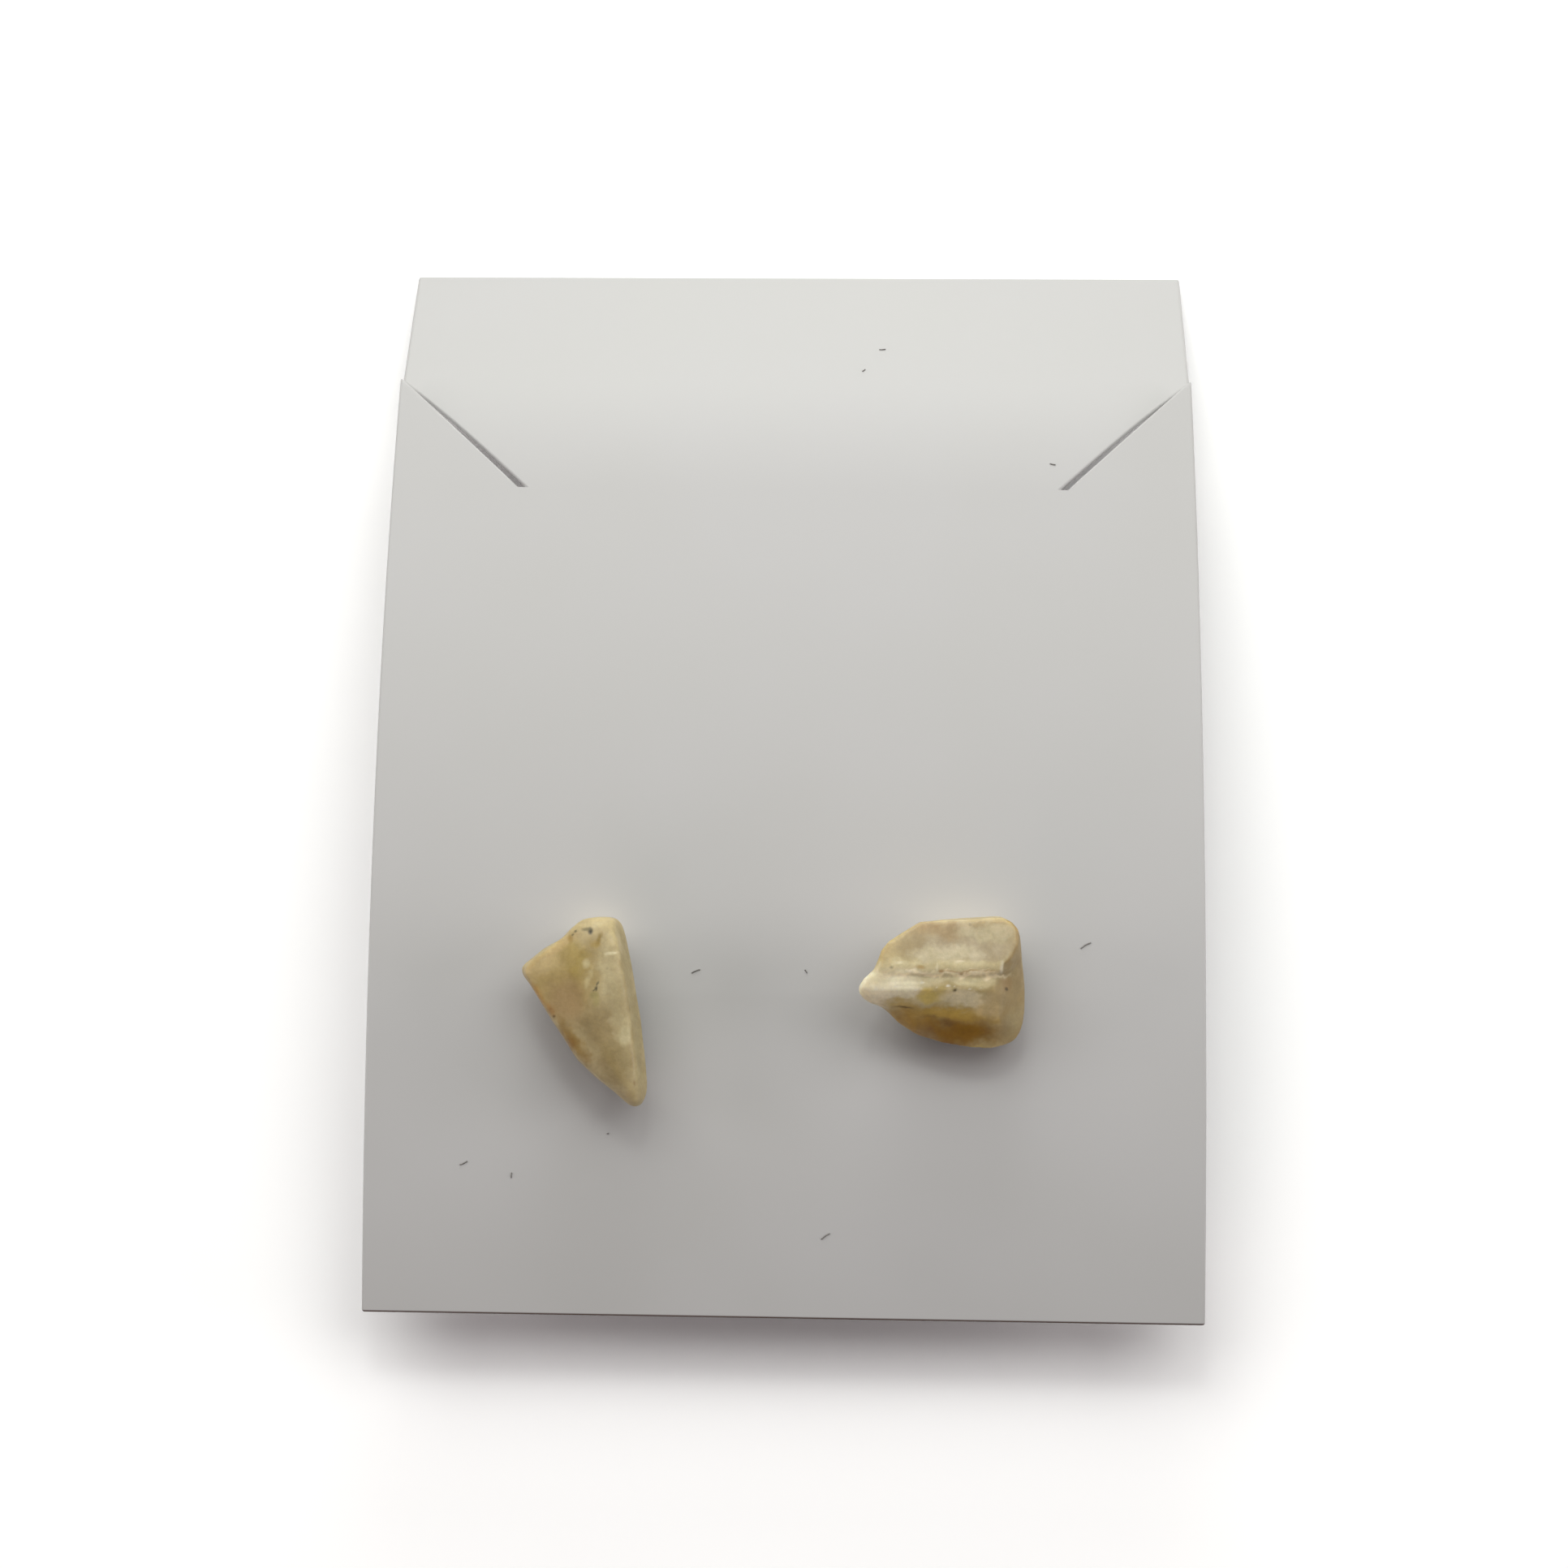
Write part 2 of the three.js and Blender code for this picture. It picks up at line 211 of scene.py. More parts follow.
# Lint on the card
# Short grey fibres and crumbs of dust that have settled on the coating, each a bent hair 0.1 to 0.7 mm
# long. They lie on the card where the photograph shows them.
LINT_THICKNESS = 0.07 * MM
LINT_SIDES = 6
LINT_STEPS = 8
LINT_BEND = 0.15
LINT_HOOK = 0.1
LINT_FLUFF = 0.1 * MM
LINT_GREY = "#8f8c88"
LINT_SHADE = "#5c5a56"
LINT_DROP = 50 * MM
LINT_PLACES = [
    # (across, up, length, turn in degrees), mm on the card's face
    (17.9, -12.0, 0.7, 25),
    (1.25, -13.7, 0.22, -60),
    (-5.3, -13.8, 0.55, 18),
    (-19.0, -25.2, 0.5, 200),
    (-16.1, -25.9, 0.3, 80),
    (-10.4, -23.4, 0.12, 10),
    (2.6, -29.2, 0.6, 30),
    (5.6, 27.7, 0.4, 0),
    (4.4, 25.9, 0.25, 40),
    (16.2, 18.7, 0.35, -20),
]


def named_input(group, name):
    """A size that the node group takes in. A modifier sets it by the identifier that comes back."""
    return group.interface.new_socket(name, in_out="INPUT", socket_type="NodeSocketFloat").identifier


face = BVHTree.FromObject(board, bpy.context.evaluated_depsgraph_get())
spots = bpy.data.meshes.new("lint")
lint = bpy.data.objects.new("lint", spots)
bpy.context.scene.collection.objects.link(lint)
corners = []
for across, up, length, turn in LINT_PLACES:
    hit, normal, _, _ = face.ray_cast(Vector((across * MM, up * MM, LINT_DROP)), Vector((0, 0, -1)))
    corners.append((hit + normal * LINT_THICKNESS / 2, normal, length * MM, math.radians(turn)))
spots.from_pydata([corner[0] for corner in corners], [], [])
spots.attributes.new("lean", "FLOAT_VECTOR", "POINT")
spots.attributes.new("length", "FLOAT", "POINT")
for i, (_, normal, length, turn) in enumerate(corners):
    upright = normal.to_track_quat("Z", "Y").to_matrix() @ Matrix.Rotation(turn, 3, "Z")
    spots.attributes["lean"].data[i].vector = upright.to_euler()
    spots.attributes["length"].data[i].value = length

# Cotton lint, matted with dust: dull and rough, so that it reads as a fine dark line on the coating
lint_grey, out = new_material("lint fibre")
tree = lint_grey.node_tree
place = add(tree, "ShaderNodeTexCoord").outputs["Object"]
fluff = add(tree, "ShaderNodeTexNoise", [("Scale", 1 / LINT_FLUFF)], [("Vector", place)])
tone = add(
    tree,
    "ShaderNodeValToRGB",
    [("stops", [(0.3, linear(LINT_SHADE)), (0.7, linear(LINT_GREY))])],
    [("Fac", fluff.outputs["Fac"])],
)
paint = add(tree, "ShaderNodeBsdfPrincipled", [("Roughness", 0.9)], [("Base Color", tone.outputs["Color"])])
tree.links.new(paint.outputs["BSDF"], out.inputs["Surface"])

# One bent hair, a unit long, is laid at every spot, turned and scaled to it, and made round
laying = bpy.data.node_groups.new("lay lint", "GeometryNodeTree")
laying.interface.new_socket("Geometry", in_out="INPUT", socket_type="NodeSocketGeometry")
radius_id = named_input(laying, "Radius")
bend_id = named_input(laying, "Bend")
laying.interface.new_socket("Geometry", in_out="OUTPUT", socket_type="NodeSocketGeometry")
given = add(laying, "NodeGroupInput").outputs
lean_at = add(laying, "GeometryNodeInputNamedAttribute", [("data_type", "FLOAT_VECTOR"), ("Name", "lean")])
size_at = add(laying, "GeometryNodeInputNamedAttribute", [("data_type", "FLOAT"), ("Name", "length")])
middle = add(laying, "ShaderNodeCombineXYZ", links=[("Y", given["Bend"])])
arc = add(
    laying,
    "GeometryNodeCurveQuadraticBezier",
    [("Resolution", LINT_STEPS), ("Start", (-0.5, 0, 0)), ("End", (0.5, LINT_HOOK, 0))],
    [("Middle", middle.outputs[0])],
)
points = add(laying, "GeometryNodeMeshToPoints", links=[("Mesh", given["Geometry"])])
fibres = add(
    laying,
    "GeometryNodeInstanceOnPoints",
    links=[
        ("Points", points.outputs[0]),
        ("Instance", arc.outputs["Curve"]),
        ("Rotation", lean_at.outputs["Attribute"]),
        ("Scale", size_at.outputs["Attribute"]),
    ],
)
loose = add(laying, "GeometryNodeRealizeInstances", links=[("Geometry", fibres.outputs["Instances"])])
thread = add(
    laying,
    "GeometryNodeCurvePrimitiveCircle",
    [("Resolution", LINT_SIDES)],
    [("Radius", given["Radius"])],
)
strands = add(
    laying,
    "GeometryNodeCurveToMesh",
    [("Fill Caps", True)],
    [("Curve", loose.outputs["Geometry"]), ("Profile Curve", thread.outputs["Curve"])],
)
dyed = add(
    laying,
    "GeometryNodeSetMaterial",
    [("Material", lint_grey)],
    [("Geometry", strands.outputs["Mesh"])],
)
add(laying, "NodeGroupOutput", links=[("Geometry", dyed.outputs["Geometry"])])
modifier = lint.modifiers.new("lay lint", "NODES")
modifier.node_group = laying
modifier[radius_id] = LINT_THICKNESS / 2
modifier[bend_id] = LINT_BEND
bake_modifiers(lint)
finish_piece(lint, lint_grey, "card_paper")

# Ear posts
# Each is one 0.8 mm surgical steel pin on a flat pad that the stone is glued to. The pad lies on the card,
# and the pin goes through it and is notched near its rounded tip, so that the back can't slip off.
SEAT_ACROSS = 11 * MM
SEAT_UP = -15.063 * MM
SEAT_HEIGHT = 9.187 * MM
SEAT_LEAN = math.radians(5.409)
SEATS = {
    side: Matrix.Translation((across, SEAT_UP, SEAT_HEIGHT)) @ Matrix.Rotation(SEAT_LEAN, 4, "X")
    for side, across in (("left", -SEAT_ACROSS), ("right", SEAT_ACROSS))
}
TURNED_SIDES = 64
TURNED_SHARP = math.radians(35)
# Radii, and heights above the seat on the card's face, in mm
PIN = 0.4
PIN_TIP = -9.2
NOTCH = 0.33
PAD = 1.8
PAD_TOP = 0.7
PAD_FOOT = 0.02
PAD_EASE = 0.12
STEEL = "#c6c7c9"
STEEL_ROUGHNESS = 0.18
STEEL_SCUFF = 0.25 * MM
STEEL_SCUFF_DEPTH = 0.01 * MM


def turned(name, seat, profile):
    """A turned piece from [radius, height] corners in mm, from its lower end up or round its bore."""
    closed = profile[0][0] > 0
    mesh = bpy.data.meshes.new(name)
    spun = bmesh.new()
    rings = []
    for radius, height in profile:
        if radius == 0:
            rings.append([spun.verts.new(seat @ Vector((0, 0, height * MM)))])
            continue
        ring = []
        for i in range(TURNED_SIDES):
            angle = 2 * math.pi * i / TURNED_SIDES
            corner = Vector((radius * math.cos(angle), radius * math.sin(angle), height)) * MM
            ring.append(spun.verts.new(seat @ corner))
        rings.append(ring)
    pairs = list(zip(rings, rings[1:])) + ([(rings[-1], rings[0])] if closed else [])
    for low, high in pairs:
        for i in range(TURNED_SIDES):
            j = (i + 1) % TURNED_SIDES
            if len(low) == 1:
                spun.faces.new((low[0], high[j], high[i]))
            elif len(high) == 1:
                spun.faces.new((low[i], low[j], high[0]))
            else:
                spun.faces.new((low[i], low[j], high[j], high[i]))
    bmesh.ops.recalc_face_normals(spun, faces=spun.faces)
    for spun_face in spun.faces:
        spun_face.smooth = True
    spun.to_mesh(mesh)
    spun.free()
    mesh.set_sharp_from_angle(angle=TURNED_SHARP)
    piece = bpy.data.objects.new(name, mesh)
    bpy.context.scene.collection.objects.link(piece)
    return piece


# Surgical steel, drawn and tumbled: bright, with soft scuffs. The real ones are too fine to show in the
# render, so they are drawn as coarse as they need to be
drawn_steel, out = new_material("surgical steel, drawn and tumbled")
tree = drawn_steel.node_tree
place = add(tree, "ShaderNodeTexCoord").outputs["Object"]
scuff = add(tree, "ShaderNodeTexNoise", [("Scale", 1 / STEEL_SCUFF), ("Detail", 4)], [("Vector", place)])
polish = add(
    tree,
    "ShaderNodeMapRange",
    [("To Min", STEEL_ROUGHNESS - 0.06), ("To Max", STEEL_ROUGHNESS + 0.1)],
    [("Value", scuff.outputs["Fac"])],
)
relief = add(
    tree,
    "ShaderNodeBump",
    [("Strength", 0.1), ("Distance", STEEL_SCUFF_DEPTH)],
    [("Height", scuff.outputs["Fac"])],
)
paint = add(
    tree,
    "ShaderNodeBsdfPrincipled",
    [("Base Color", linear(STEEL)), ("Metallic", 1.0)],
    [("Roughness", polish.outputs["Result"]), ("Normal", relief.outputs["Normal"])],
)
tree.links.new(paint.outputs["BSDF"], out.inputs["Surface"])

for side, seat in SEATS.items():
    post = turned(
        f"{side}_ear_post",
        seat,
        [
            # rounded tip
            [0, PIN_TIP],
            [PIN * 0.55, PIN_TIP + 0.03],
            [PIN * 0.85, PIN_TIP + 0.12],
            [PIN, PIN_TIP + 0.35],
            # notch, half a millimetre tall
            [PIN, PIN_TIP + 1.5],
            [NOTCH, PIN_TIP + 1.65],
            [NOTCH, PIN_TIP + 2.0],
            [PIN, PIN_TIP + 2.15],
            # solder fillet under the pad
            [PIN, PAD_FOOT - 0.25],
            [PIN + 0.15, PAD_FOOT],
            # pad with eased edges
            [PAD - PAD_EASE, PAD_FOOT],
            [PAD, PAD_FOOT + PAD_EASE],
            [PAD, PAD_TOP - PAD_EASE],
            [PAD - PAD_EASE, PAD_TOP],
            [0, PAD_TOP],
        ],
    )
    finish_piece(post, drawn_steel, "post_steel", f"{side}_post")

# Glue under the stones
# A drop of clear two-part jewellery glue between each pad and its stone, squeezed out past the pad into a
# soft bead before it set.
# Radius and heights in mm, as for the posts
GLUE_BEAD = 2.0
GLUE_TOP = 1.12
GLUE_SINK = 0.02
GLUE_TINT = "#d8d2bf"
GLUE_PALE = "#efece0"
GLUE_BUBBLE = 0.2 * MM
GLUE_DEPTH = 0.6 * MM

# Epoxy, cured in a bead: clear and glossy with a slight yellow tint and fine bubbles
cured_epoxy, out = new_material("epoxy, cured")
tree = cured_epoxy.node_tree
place = add(tree, "ShaderNodeTexCoord").outputs["Object"]
bubbles = add(tree, "ShaderNodeTexVoronoi", [("Scale", 1 / GLUE_BUBBLE)], [("Vector", place)])
tone = add(
    tree,
    "ShaderNodeValToRGB",
    [("stops", [(0.05, linear(GLUE_PALE)), (0.3, linear(GLUE_TINT))])],
    [("Fac", bubbles.outputs["Distance"])],
)
paint = add(
    tree,
    "ShaderNodeBsdfPrincipled",
    [("Roughness", 0.12), ("IOR", 1.55), ("Subsurface Weight", 0.5), ("Subsurface Scale", GLUE_DEPTH)],
    [("Base Color", tone.outputs["Color"])],
)
tree.links.new(paint.outputs["BSDF"], out.inputs["Surface"])

for side, seat in SEATS.items():
    glue = turned(
        f"{side}_glue",
        seat,
        [
            # underside, sunk a little into the pad
            [0, PAD_TOP - GLUE_SINK],
            [PAD - 0.15, PAD_TOP - GLUE_SINK],
            # soft bead past the pad's edge
            [PAD + 0.02, PAD_TOP + 0.06],
            [GLUE_BEAD - 0.05, PAD_TOP + 0.16],
            [GLUE_BEAD, PAD_TOP + 0.26],
            [GLUE_BEAD - 0.1, GLUE_TOP - 0.02],
            # top, sunk into the stone
            [GLUE_BEAD - 0.3, GLUE_TOP],
            [0, GLUE_TOP],
        ],
    )
    finish_piece(glue, cured_epoxy, "silicone")

# Soft backs
# Each is a moulded silicone sleeve with a flange, pushed up the pin until the flange meets the card. It
# grips the pin, and the notch keeps it from slipping off.
# Radii and heights in mm, as for the posts
BORE = 0.45
BACK = 1.9
FLANGE = 2.6
FLANGE_TOP = -0.43
FLANGE_EASE = 0.15
BACK_END = -4.3
SILICONE = "#dfe2e1"
SILICONE_SHADE = "#d3d7d6"
SILICONE_FROST = 0.12 * MM
SILICONE_FROST_DEPTH = 0.02 * MM
SILICONE_DEPTH = 1.2 * MM

# Silicone rubber, moulded and frosted: milky, with light passing through its thin flange
frosted_silicone, out = new_material("silicone rubber, moulded and frosted")
tree = frosted_silicone.node_tree
place = add(tree, "ShaderNodeTexCoord").outputs["Object"]
frost = add(tree, "ShaderNodeTexNoise", [("Scale", 1 / SILICONE_FROST), ("Detail", 3)], [("Vector", place)])
tone = add(
    tree,
    "ShaderNodeValToRGB",
    [("stops", [(0.3, linear(SILICONE_SHADE)), (0.7, linear(SILICONE))])],
    [("Fac", frost.outputs["Fac"])],
)
skin = add(
    tree,
    "ShaderNodeBump",
    [("Strength", 0.2), ("Distance", SILICONE_FROST_DEPTH)],
    [("Height", frost.outputs["Fac"])],
)
paint = add(
    tree,
    "ShaderNodeBsdfPrincipled",
    [
        ("Roughness", 0.42),
        ("IOR", 1.41),
        ("Subsurface Weight", 0.8),
        ("Subsurface Scale", SILICONE_DEPTH),
        ("Transmission Weight", 0.25),
    ],
    [("Base Color", tone.outputs["Color"]), ("Normal", skin.outputs["Normal"])],
)
tree.links.new(paint.outputs["BSDF"], out.inputs["Surface"])

for side, seat in SEATS.items():
    back = turned(
        f"{side}_soft_back",
        seat,
        [
            # flared mouth of the bore
            [BORE, BACK_END + 0.2],
            [BORE + 0.25, BACK_END],
            # domed end
            [BACK - 0.7, BACK_END],
            [BACK - 0.35, BACK_END + 0.1],
            [BACK - 0.1, BACK_END + 0.35],
            [BACK, BACK_END + 0.7],
            # hollow that runs out into the flange
            [BACK, FLANGE_TOP - 1.25],
            [BACK + 0.08, FLANGE_TOP - 1.05],
            [BACK + 0.25, FLANGE_TOP - 0.95],
            # flange with rounded edges
            [FLANGE - FLANGE_EASE, FLANGE_TOP - 0.85],
            [FLANGE, FLANGE_TOP - 0.65],
            [FLANGE, FLANGE_TOP - FLANGE_EASE],
            [FLANGE - FLANGE_EASE, FLANGE_TOP],
            # the bore's other mouth
            [BORE + FLANGE_EASE, FLANGE_TOP],
            [BORE, FLANGE_TOP - FLANGE_EASE],
        ],
    )
    finish_piece(back, frosted_silicone, "silicone", f"{side}_back")

# Left stone
# A thin slab of cream moonstone, broken to a triangle, then tumbled until its corners were round and its
# faces silky. Iron has stained it ochre, and a few black grains sit in its face.
STONE_VOXEL = 0.085 * MM
STONE_SEED = 3
SLAB_PASSES = 60
SLAB_ROUNDS = 2
# Depth and width of the hollows that tumbling leaves, in mm, and the place in the noise that they come from
SLAB_WEAR = 0.03
SLAB_WEAR_SIZE = 1.6
SLAB_WEAR_DRAW = (3, 1, 7)
CREAM = "#b3a37a"
CREAM_CLOUD = 1.4 * MM
CREAM_MILK = "#cbbf97"
CREAM_DEPTH = 1.2 * MM
CREAM_ROUGHNESS = 0.45
CREAM_GLOSS = 0.05
SLAB_MARKS = [
    # (across, up, height, half width, half length, turn, colour, strength), mm from its seat on the card
    (-1.8, 0.6, 4.7, 2.6, 2.4, 30, "#aa955f", 1.0),
    (-3.2, 1.3, 4.2, 1.2, 0.8, 20, "#b7a272", 0.8),
    (-2.0, 2.3, 4.8, 1.2, 0.45, 30, "#b9a271", 0.8),
    (-1.1, 1.5, 5.1, 0.75, 1.1, 0, "#a38e50", 0.95),
    (-1.6, -0.9, 4.6, 1.3, 1.4, 30, "#a68c61", 0.85),
    (-1.15, -3.2, 4.0, 0.5, 1.5, 35, "#8f7238", 0.9),
    (-1.3, -3.25, 4.1, 0.3, 0.35, 30, "#8a6630", 0.7),
    (-3.4, -0.4, 3.7, 0.35, 0.9, 35, "#b0873f", 0.8),
    (0.5, -2.4, 4.8, 1.1, 1.5, 25, "#97845a", 0.85),
    (1.3, -4.4, 4.5, 1.0, 1.3, 20, "#968458", 0.85),
    (0.9, 0.8, 4.9, 0.9, 1.6, 8, "#b7a880", 0.8),
    (1.5, -0.7, 4.8, 0.5, 1.4, 8, "#ab9d75", 0.7),
    (1.9, -2.7, 4.6, 0.3, 0.7, -8, "#bfb48e", 0.85),
    # The next two rows darken the steep right bevel: painted shade, for the side turned away from the light
    (1.75, 2.2, 3.8, 0.3, 2.3, 6, "#a99a6e", 0.8),
    (2.5, -3.0, 3.4, 0.3, 3.0, 8, "#a4956a", 0.8),
    (1.2, 3.2, 4.6, 0.6, 0.9, 0, "#c3b58a", 0.7),
    (0.3, 3.8, 4.4, 1.0, 0.4, 0, "#bfaf83", 0.7),
    (-0.45, 1.3, 5.1, 0.2, 0.28, 0, "#c9bb90", 0.8),
    (-0.3, 0.4, 5.1, 0.12, 0.7, -8, "#c2b385", 0.6),
    # Painted highlight: the pale spot in the next row is a glint painted on the face
    (0.95, 1.95, 4.9, 0.4, 0.1, 10, "#dfd5b0", 0.9),
    (0.25, 2.75, 5.0, 0.15, 0.4, -18, "#8d7430", 0.85),
    (0.05, 2.45, 5.0, 0.3, 0.2, 0, "#ae9450", 0.7),
    (-1.4, 2.75, 4.8, 0.16, 0.28, 20, "#94783a", 0.8),
    (-0.27, 3.22, 4.98, 0.14, 0.24, 12, "#2c2410", 1.0),
    (-0.5, 3.35, 4.9, 0.32, 0.13, 0, "#6a6040", 0.8),
    (-1.15, 3.2, 4.8, 0.08, 0.08, 0, "#4a452f", 0.9),
    (-1.3, 3.0, 4.8, 0.08, 0.08, 0, "#564d30", 0.9),
    (0.14, -0.15, 5.0, 0.08, 0.14, 0, "#352a10", 1.0),
    (0.2, 0.15, 5.0, 0.06, 0.15, -20, "#504b34", 0.9),
    (-0.02, -0.25, 5.0, 0.06, 0.06, 0, "#453f26", 0.9),
    (0.05, -0.5, 5.0, 0.3, 0.22, 0, "#8a8048", 0.65),
    (0.2, -0.85, 5.0, 0.2, 0.34, -15, "#a0935a", 0.6),
    (0.75, 1.05, 4.9, 0.07, 0.07, 0, "#7a7256", 0.7),
    (-2.35, -1.75, 4.2, 0.1, 0.09, 0, "#59401d", 0.9),
    (-2.6, -1.4, 4.1, 0.3, 0.5, 30, "#a07338", 0.6),
    (2.45, -5.5, 4.1, 0.07, 0.18, 0, "#7f6332", 0.8),
]
SLAB_MILK = [
    # (across, up, height, half width, half length, turn, strength), mm from its seat on the card
    (0.9, 0.8, 4.9, 0.9, 2.0, 10, 0.4),
    (1.5, -2.4, 4.7, 0.6, 1.0, 12, 0.4),
    (-2.9, 2.0, 4.4, 1.0, 0.4, 35, 0.3),
    (2.3, -4.6, 4.2, 0.5, 1.4, 15, 0.3),
]
# How deep a small spot reaches, in mm. A coarse and a fine drift make the spots' edges ragged. Their sizes
# and how far they move an edge are in mm too. Spots with a half width under SPOT_FULL drift less
SPOT_REACH = 0.8
DRIFT_SIZES = (0.9, 0.25)
STAIN_DRIFT = (0.35, 0.15)
MILK_DRIFT = (0.35, 0.2)
SPOT_FULL = 1.2
# A spot under this half width is a solid speck, so less light passes through it
SPECK_WIDTH = 0.5
SPECK_CLEARNESS = 0.15


def tumble(stone, passes, rounds):
    """Rounds the arrises as tumbling does. Rounds after the first give back bulk that smoothing takes."""
    count = len(stone.data.vertices)
    ends = np.zeros(len(stone.data.edges) * 2, np.int32)
    stone.data.edges.foreach_get("vertices", ends)
    low, high = ends[::2], ends[1::2]
    neighbours = np.bincount(ends, minlength=count)[:, None]
    sharp = np.zeros(count * 3, np.float32)
    stone.data.vertices.foreach_get("co", sharp)
    sharp = sharp.reshape(-1, 3).astype(float)
    rounded = 0
    for _ in range(rounds):
        soft = sharp
        for _ in range(passes):
            around = [
                np.bincount(low, soft[high, axis], count) + np.bincount(high, soft[low, axis], count)
                for axis in range(3)
            ]
            soft = 0.5 * (soft + np.stack(around, 1) / neighbours)
        rounded = rounded + soft
        sharp = sharp - soft
    stone.data.vertices.foreach_set("co", rounded.astype(np.float32).ravel())
    stone.data.update()


def stone_mesh(node, name, passes, rounds):
    """The stone's CAD shape as an even fine skin with its arrises rounded."""
    stone = merged_copy(node, name)
    skin = stone.modifiers.new("even skin", "REMESH")
    skin.mode = "VOXEL"
    skin.voxel_size = STONE_VOXEL
    skin.use_smooth_shade = True
    bake_modifiers(stone)
    tumble(stone, passes, rounds)
    return stone


def stone_places(stone, seat):
    """The skin's corners and normals in mm from the stone's seat on the card."""
    to_seat = seat.inverted()
    count = len(stone.data.vertices)
    here = np.zeros(count * 3, np.float32)
    stone.data.vertices.foreach_get("co", here)
    normals = np.zeros(count * 3, np.float32)
    stone.data.vertex_normals.foreach_get("vector", normals)
    turn = np.array(to_seat.to_3x3())
    here = here.reshape(-1, 3) @ turn.T + np.array(to_seat.translation)
    return here / MM, normals.reshape(-1, 3) @ turn.T


def move_skin(stone, seat, places):
    """Puts the skin's corners at new places, given in mm from the seat."""
    turn = np.array(seat.to_3x3())
    there = (places * MM) @ turn.T + np.array(seat.translation)
    stone.data.vertices.foreach_set("co", there.astype(np.float32).ravel())
    stone.data.update()


def worn(places, depth, size, draw):
    """Gentle hollows and rises that tumbling leaves, in mm along the normal."""
    return np.array([noise.noise(Vector(p) / size + Vector(draw)) for p in places]) * depth


def nearness(places, across, up, height, wide, long, turn):
    """How near the skin is to the middle of a soft spot, stretched and turned on the face, from 0 to 1."""
    angle = math.radians(turn)
    x, y = places[:, 0] - across, places[:, 1] - up
    along = (x * math.cos(angle) + y * math.sin(angle)) / wide
    over = (y * math.cos(angle) - x * math.sin(angle)) / long
    deep = (places[:, 2] - height) / max(wide, long, SPOT_REACH)
    return np.exp(-((along**2 + over**2 + deep**2) ** 2))


def drift_at(places, amounts):
    """How far the edges of soft spots drift at each place, in mm."""
    coarse, fine = (
        np.array([noise.noise_vector(Vector(p) / size) for p in places]) * amount
        for size, amount in zip(DRIFT_SIZES, amounts)
    )
    return coarse + fine


def spotted(colours, places, marks):
    """Lays soft spots of colour over the skin's colours. Their alpha is how clear the stone is there."""
    drift = drift_at(places, STAIN_DRIFT)
    for *spot, colour, strength in marks:
        widest = max(spot[3:5])
        ragged = min(1, widest / SPOT_FULL)
        share = strength * nearness(places + ragged * drift, *spot)
        clearness = SPECK_CLEARNESS if widest < SPECK_WIDTH else 1
        colours = colours + share[:, None] * (np.array(linear(colour, clearness)) - colours)
    return colours


def stain(stone, places, colours, milk):
    """Gives the skin its colours and, from soft spots, how cloudy it is."""
    stone.data.color_attributes.new("stain", "FLOAT_COLOR", "POINT")
    stone.data.attributes["stain"].data.foreach_set("color", colours.astype(np.float32).ravel())
    cloudy = np.zeros(len(places))
    drift = drift_at(places, MILK_DRIFT)
    for *spot, strength in milk:
        cloudy = np.maximum(cloudy, strength * nearness(places + drift, *spot))
    stone.data.attributes.new("milk", "FLOAT", "POINT")
    stone.data.attributes["milk"].data.foreach_set("value", cloudy.astype(np.float32))


# The drift's noise starts from the clock unless it has a seed
noise.seed_set(STONE_SEED)
slab = stone_mesh("left_stone", "left_chip", SLAB_PASSES, SLAB_ROUNDS)
places, normals = stone_places(slab, SEATS["left"])
places = places + normals * worn(places, SLAB_WEAR, SLAB_WEAR_SIZE, SLAB_WEAR_DRAW)[:, None]
move_skin(slab, SEATS["left"], places)
cream = np.tile(np.array(linear(CREAM)), (len(places), 1))
stain(slab, places, spotted(cream, places, SLAB_MARKS), SLAB_MILK)


# The milk inside both stones shows where their clouds are thickest, from VEIL_FROM on
CLOUD_SHARE = 0.9
VEIL_FROM = 0.66
VEIL_FULL = 0.9
VEIL_MOST = 0.32
# Wisps and a fine grain of darker crystal run through both
WISP = 0.9 * MM
WISP_SHADES = [(0.38, "#eeece7"), (0.5, "#f7f6f4"), (0.62, "#ffffff")]
GRAIN = 0.22 * MM
GRAIN_SHADES = [(0.35, "#ececec"), (0.65, "#fcfcfc")]
GRAIN_SHARE = 0.8
PIT_DEPTH = 0.02 * MM
# How much light sinks in where a stone is clear, and how far its red, green and blue then reach
CLEARNESS = 0.6
LIGHT_REACH = (1.0, 0.78, 0.5)
# How much smoother and rougher than its mean a stone's polish gets
POLISH_LESS = 0.06
POLISH_MORE = 0.14


